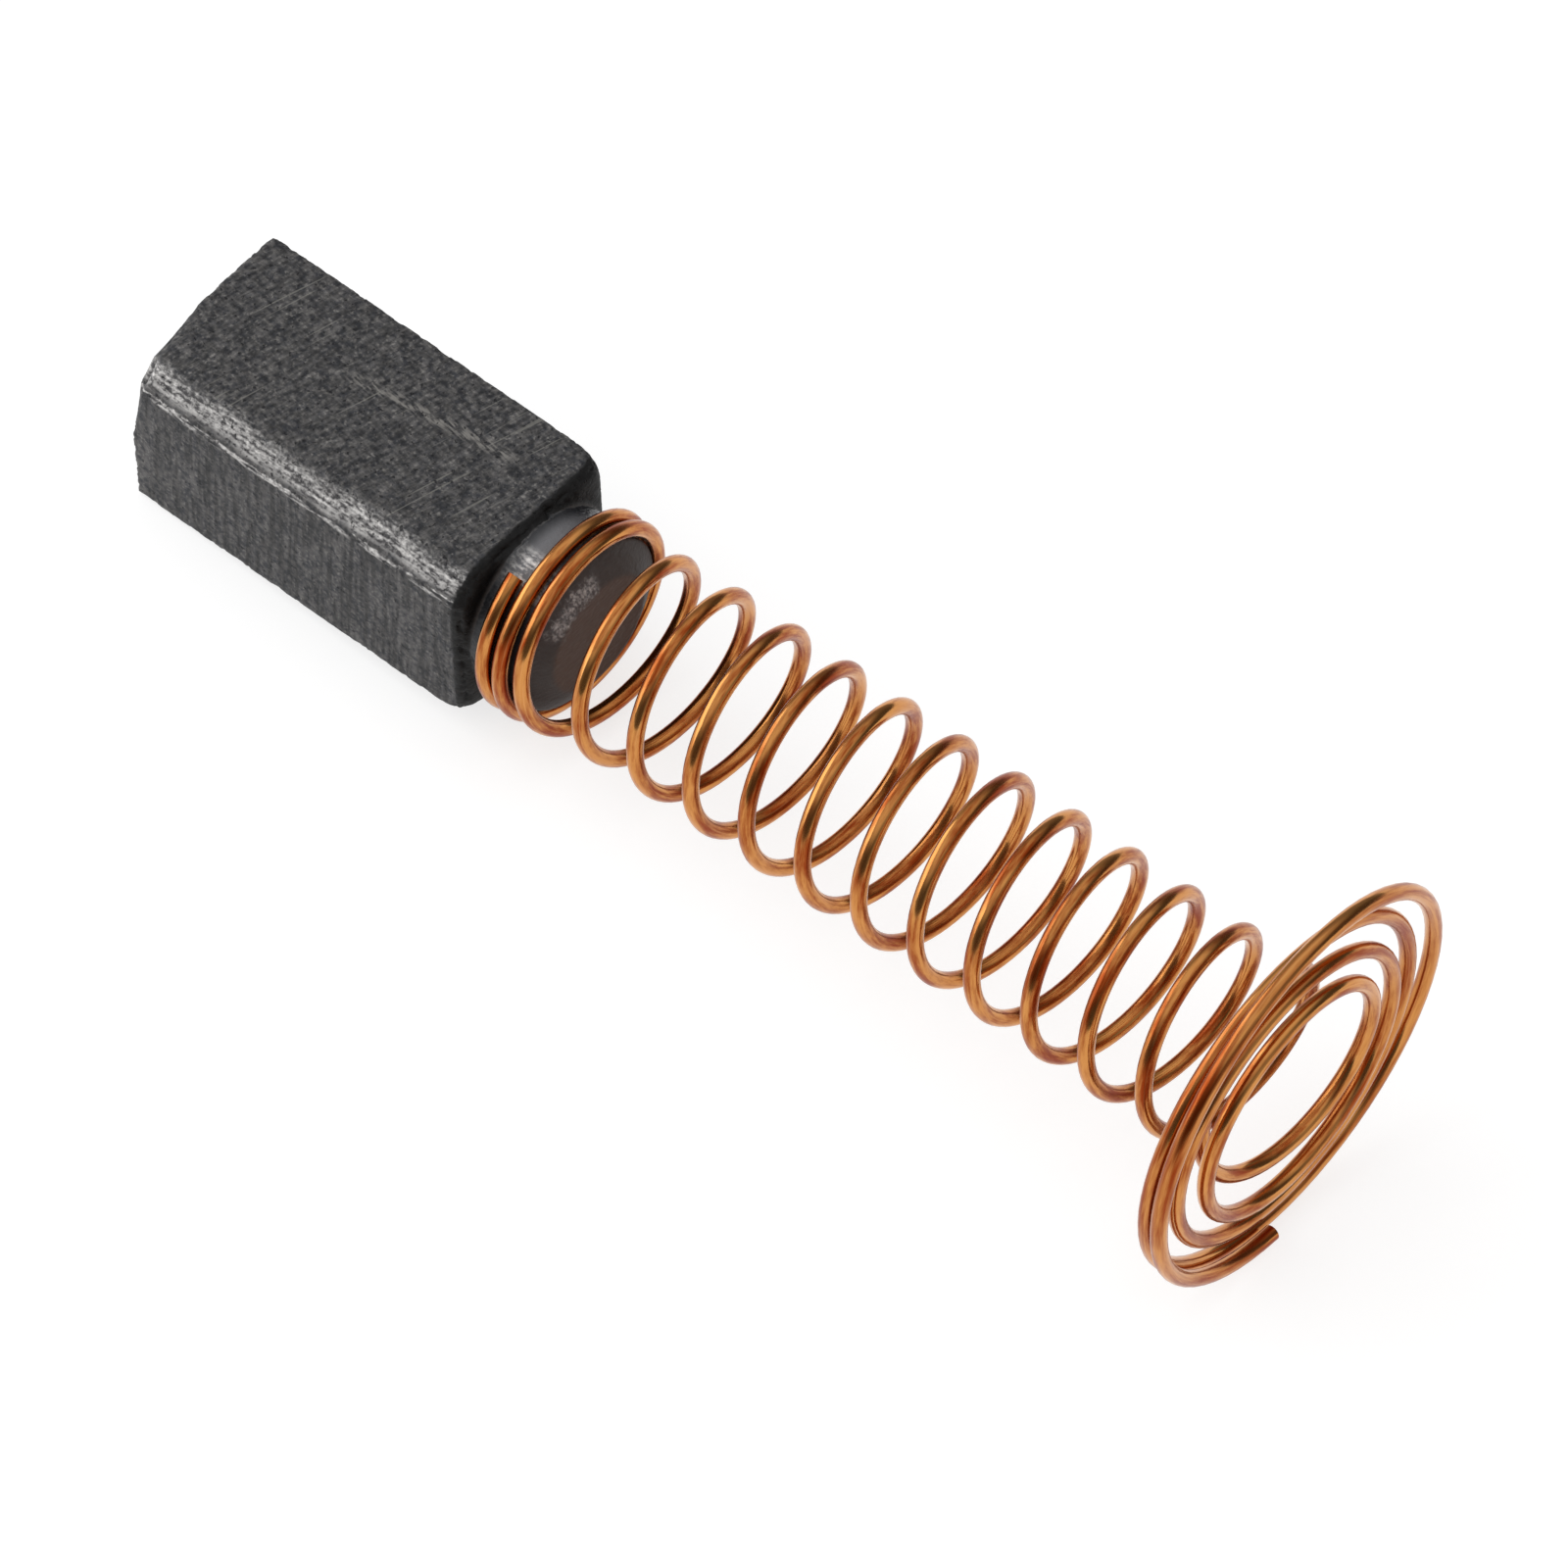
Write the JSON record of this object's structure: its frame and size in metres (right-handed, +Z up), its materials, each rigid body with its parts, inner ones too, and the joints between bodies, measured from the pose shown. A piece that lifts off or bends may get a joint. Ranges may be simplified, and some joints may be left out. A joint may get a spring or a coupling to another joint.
{
  "type": "carbon brush with spring",
  "caption": "Pressed graphite block with a round boss at its back and a coil spring gripped on it, for the brush holder of a small commutator motor.",
  "frame": {"origin": "on the floor, under the middle of the part as it lies at rest", "axes": "+X from the wear face to the wide end of the spring, +Z up, so -Y is the side with the guide chamfer"},
  "size_m": [0.033, 0.0104, 0.0104],
  "materials": {
    "graphite": "satin",
    "spring_wire": "polished"
  },
  "bodies": {
    "root": {"brush_block": "graphite", "contact_spring": "spring_wire"}
  },
  "joints": []
}
